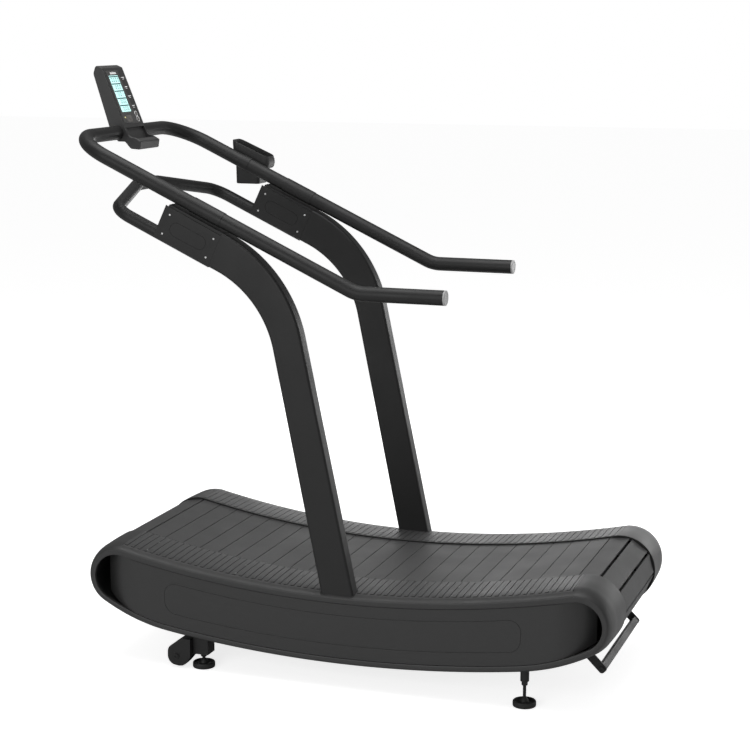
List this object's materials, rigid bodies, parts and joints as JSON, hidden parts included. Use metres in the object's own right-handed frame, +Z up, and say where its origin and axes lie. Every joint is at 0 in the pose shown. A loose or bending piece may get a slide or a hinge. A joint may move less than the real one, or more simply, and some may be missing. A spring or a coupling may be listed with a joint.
{
  "type": "curved manual treadmill",
  "caption": "Self-powered running machine: a slat belt on a concave deck between ribbed foot rails, with uprights, a handrail and a console.",
  "frame": {"origin": "centre of the whole object's footprint box, on the floor under the feet", "axes": "+X towards the rear, where the user steps on, -X towards the console; +Y to the user's right; +Z up"},
  "size_m": [1.761, 0.861, 1.8241],
  "materials": {
    "powder_coat": "dark grey fine-textured powder coat",
    "cover_plastic": "charcoal moulded plastic with a fine grain",
    "tread_rubber": "grey ribbed rubber tread",
    "slat_rubber": "grey rubber-faced slats with a fine pebble texture",
    "pad_rubber": "black rubber",
    "bright_steel": "zinc-plated or turned steel",
    "cap_plastic": "light grey plastic end cap",
    "console_plastic": "dark grey moulded plastic",
    "face_plastic": "grey printed face panel, satin",
    "display": "pale green-blue display window",
    "key_rubber": "warm grey rubber keys"
  },
  "bodies": {
    "frame": {"console_face": "face_plastic", "console_display": "display", "console_housing": "console_plastic", "bottle_holder": "cover_plastic", "belly_pan": "cover_plastic", "holder_strap": "powder_coat", "handlebar": "powder_coat", "front_loop_bar": "powder_coat", "front_cross_beam": "powder_coat", "rear_cross_beam": "powder_coat", "upright_cross_beam": "powder_coat", "lift_handle_bar": "powder_coat", "slat_belt": "slat_rubber", "front_drum_axle": "bright_steel", "rear_drum_axle": "bright_steel", "left_grip_cap": "cap_plastic", "left_handle_tab": "powder_coat", "left_handle_bolt": "bright_steel", "left_side_cover": "cover_plastic", "left_side_panel": "cover_plastic", "left_foot_rail": "tread_rubber", "left_side_frame": "powder_coat", "left_upright": "powder_coat", "left_outer_bracket_plate": "powder_coat", "left_inner_bracket_plate": "powder_coat", "left_wheel_bracket": "powder_coat", "left_roller_rail": "bright_steel", "left_wheel_axle": "bright_steel", "front_left_lock_nut": "bright_steel", "rear_left_lock_nut": "bright_steel", "right_grip_cap": "cap_plastic", "right_handle_tab": "powder_coat", "right_handle_bolt": "bright_steel", "right_side_cover": "cover_plastic", "right_side_panel": "cover_plastic", "right_foot_rail": "tread_rubber", "right_side_frame": "powder_coat", "right_upright": "powder_coat", "right_outer_bracket_plate": "powder_coat", "right_inner_bracket_plate": "powder_coat", "right_wheel_bracket": "powder_coat", "right_roller_rail": "bright_steel", "right_wheel_axle": "bright_steel", "front_right_lock_nut": "bright_steel", "rear_right_lock_nut": "bright_steel"},
    "front_drum": {"front_drum": "bright_steel", "front_drum_bearing_left": "bright_steel", "front_drum_bearing_right": "bright_steel"},
    "rear_drum": {"rear_drum": "bright_steel", "rear_drum_bearing_left": "bright_steel", "rear_drum_bearing_right": "bright_steel"},
    "left_transport_wheel": {"left_transport_wheel": "pad_rubber"},
    "right_transport_wheel": {"right_transport_wheel": "pad_rubber"},
    "front_left_foot": {"front_left_levelling_foot": "pad_rubber"},
    "front_right_foot": {"front_right_levelling_foot": "pad_rubber"},
    "rear_left_foot": {"rear_left_levelling_foot": "pad_rubber"},
    "rear_right_foot": {"rear_right_levelling_foot": "pad_rubber"},
    "main_key": {"console_main_key": "key_rubber"},
    "upper_round_key": {"console_upper_round_key": "key_rubber"},
    "lower_round_key": {"console_lower_round_key": "key_rubber"}
  },
  "joints": [
    {"name": "front_drum_spin", "type": "hinge", "parent": "frame", "child": "front_drum", "pos_m": [-0.67649, -0.0365, 0.275], "axis": [0, 1, 0], "continuous": true},
    {"name": "rear_drum_spin", "type": "hinge", "parent": "frame", "child": "rear_drum", "pos_m": [0.77551, -0.0365, 0.275], "axis": [0, 1, 0], "continuous": true},
    {"name": "left_wheel_spin", "type": "hinge", "parent": "frame", "child": "left_transport_wheel", "pos_m": [-0.48149, -0.3955, 0.04], "axis": [0, 1, 0], "continuous": true},
    {"name": "right_wheel_spin", "type": "hinge", "parent": "frame", "child": "right_transport_wheel", "pos_m": [-0.48149, 0.3225, 0.04], "axis": [0, 1, 0], "continuous": true},
    {"name": "front_left_foot_screw", "type": "slide", "parent": "frame", "child": "front_left_foot", "axis": [0, 0, -1], "range_m": [0, 0.015]},
    {"name": "front_right_foot_screw", "type": "slide", "parent": "frame", "child": "front_right_foot", "axis": [0, 0, -1], "range_m": [0, 0.015]},
    {"name": "rear_left_foot_screw", "type": "slide", "parent": "frame", "child": "rear_left_foot", "axis": [0, 0, -1], "range_m": [0, 0.015]},
    {"name": "rear_right_foot_screw", "type": "slide", "parent": "frame", "child": "rear_right_foot", "axis": [0, 0, -1], "range_m": [0, 0.015]},
    {"name": "main_key_press", "type": "slide", "parent": "frame", "child": "main_key", "axis": [-0.9262, 0, -0.3771], "range_m": [0, 0.0012], "stiffness_N_per_m": 600},
    {"name": "upper_round_key_press", "type": "slide", "parent": "frame", "child": "upper_round_key", "axis": [-0.9262, 0, -0.3771], "range_m": [0, 0.0012], "stiffness_N_per_m": 600},
    {"name": "lower_round_key_press", "type": "slide", "parent": "frame", "child": "lower_round_key", "axis": [-0.9262, 0, -0.3771], "range_m": [0, 0.0012], "stiffness_N_per_m": 600}
  ],
  "couplings": [
    {"joint": "rear_drum_spin", "follows": "front_drum_spin", "ratio": 1}
  ]
}
